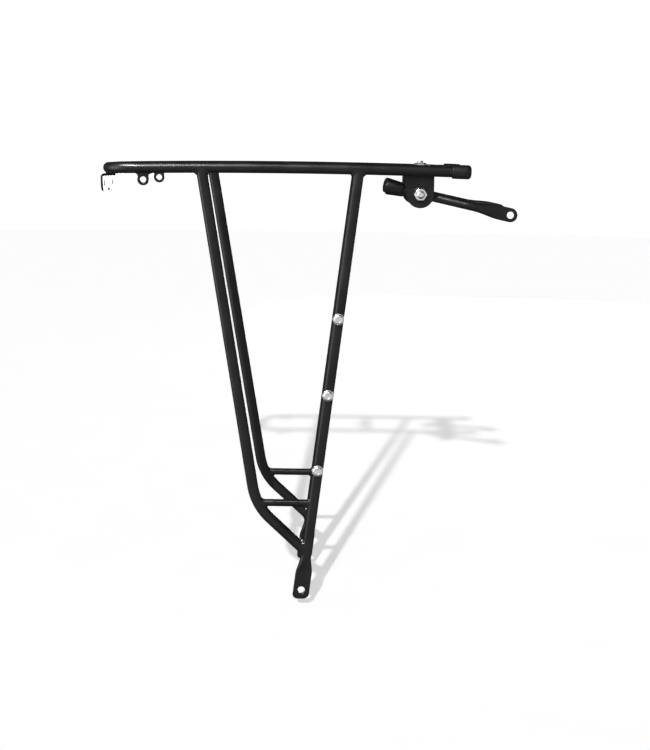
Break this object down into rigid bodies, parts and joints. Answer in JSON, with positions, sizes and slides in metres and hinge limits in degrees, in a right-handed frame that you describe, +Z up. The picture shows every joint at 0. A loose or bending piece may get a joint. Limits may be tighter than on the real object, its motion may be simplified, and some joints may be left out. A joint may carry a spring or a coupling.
{
  "type": "rear rack",
  "caption": "Welded steel tube rear luggage rack with splayed side legs, pressed feet, sliding and swivelling front stays, rubber end caps and a tail light bracket.",
  "frame": {"origin": "midway between the centres of the two foot holes, on the axis that passes through both", "axes": "+X towards the front of the bicycle, +Y to the rider's left, +Z up"},
  "size_m": [0.377, 0.156, 0.4002],
  "materials": {
    "black_paint": "gloss black powder coat over steel",
    "zinc_steel": "bright zinc plated steel",
    "black_rubber": "moulded matte black rubber"
  },
  "bodies": {
    "rack": {"deck_hoop": "black_paint", "fender_bolt": "zinc_steel", "fender_eyelet": "black_paint", "fender_lower_washer": "zinc_steel", "fender_nut": "zinc_steel", "fender_upper_washer": "zinc_steel", "left_accessory_boss_1": "black_paint", "left_accessory_boss_2": "black_paint", "left_accessory_boss_3": "black_paint", "left_accessory_screw_1": "zinc_steel", "left_accessory_screw_2": "zinc_steel", "left_accessory_screw_3": "zinc_steel", "left_accessory_washer_1": "zinc_steel", "left_accessory_washer_2": "zinc_steel", "left_accessory_washer_3": "zinc_steel", "left_bungee_eyelet": "black_paint", "left_front_leg": "black_paint", "left_leg_brace": "black_paint", "left_rail_end_cap": "black_rubber", "left_rear_leg": "black_paint", "light_bracket": "black_paint", "mid_cross_tube": "black_paint", "right_accessory_boss_1": "black_paint", "right_accessory_boss_2": "black_paint", "right_accessory_boss_3": "black_paint", "right_accessory_screw_1": "zinc_steel", "right_accessory_screw_2": "zinc_steel", "right_accessory_screw_3": "zinc_steel", "right_accessory_washer_1": "zinc_steel", "right_accessory_washer_2": "zinc_steel", "right_accessory_washer_3": "zinc_steel", "right_bungee_eyelet": "black_paint", "right_front_leg": "black_paint", "right_leg_brace": "black_paint", "right_rail_end_cap": "black_rubber", "right_rear_leg": "black_paint", "stay_bridge": "black_paint"},
    "right_clamp": {"right_eyebolt": "zinc_steel", "right_stay_spacer": "zinc_steel", "right_stay_washer": "black_paint", "right_stay_nut": "zinc_steel"},
    "right_stay_arm": {"right_stay": "black_paint", "right_stay_end_cap": "black_rubber"},
    "left_clamp": {"left_eyebolt": "zinc_steel", "left_stay_spacer": "zinc_steel", "left_stay_washer": "black_paint", "left_stay_nut": "zinc_steel"},
    "left_stay_arm": {"left_stay": "black_paint", "left_stay_end_cap": "black_rubber"}
  },
  "joints": [
    {"name": "right_stay_swivel", "type": "hinge", "parent": "rack", "child": "right_clamp", "pos_m": [0.1028, -0.0405, 0.3621], "axis": [0, 1, 0], "range_deg": [-20, 22]},
    {"name": "right_stay_slide", "type": "slide", "parent": "right_clamp", "child": "right_stay_arm", "axis": [0.9484, -0.2419, -0.205], "range_m": [-0.028, 0.008]},
    {"name": "left_stay_swivel", "type": "hinge", "parent": "rack", "child": "left_clamp", "pos_m": [0.1028, 0.0405, 0.3621], "axis": [0, 1, 0], "range_deg": [-20, 22]},
    {"name": "left_stay_slide", "type": "slide", "parent": "left_clamp", "child": "left_stay_arm", "axis": [0.9484, 0.2419, -0.205], "range_m": [-0.028, 0.008]}
  ]
}
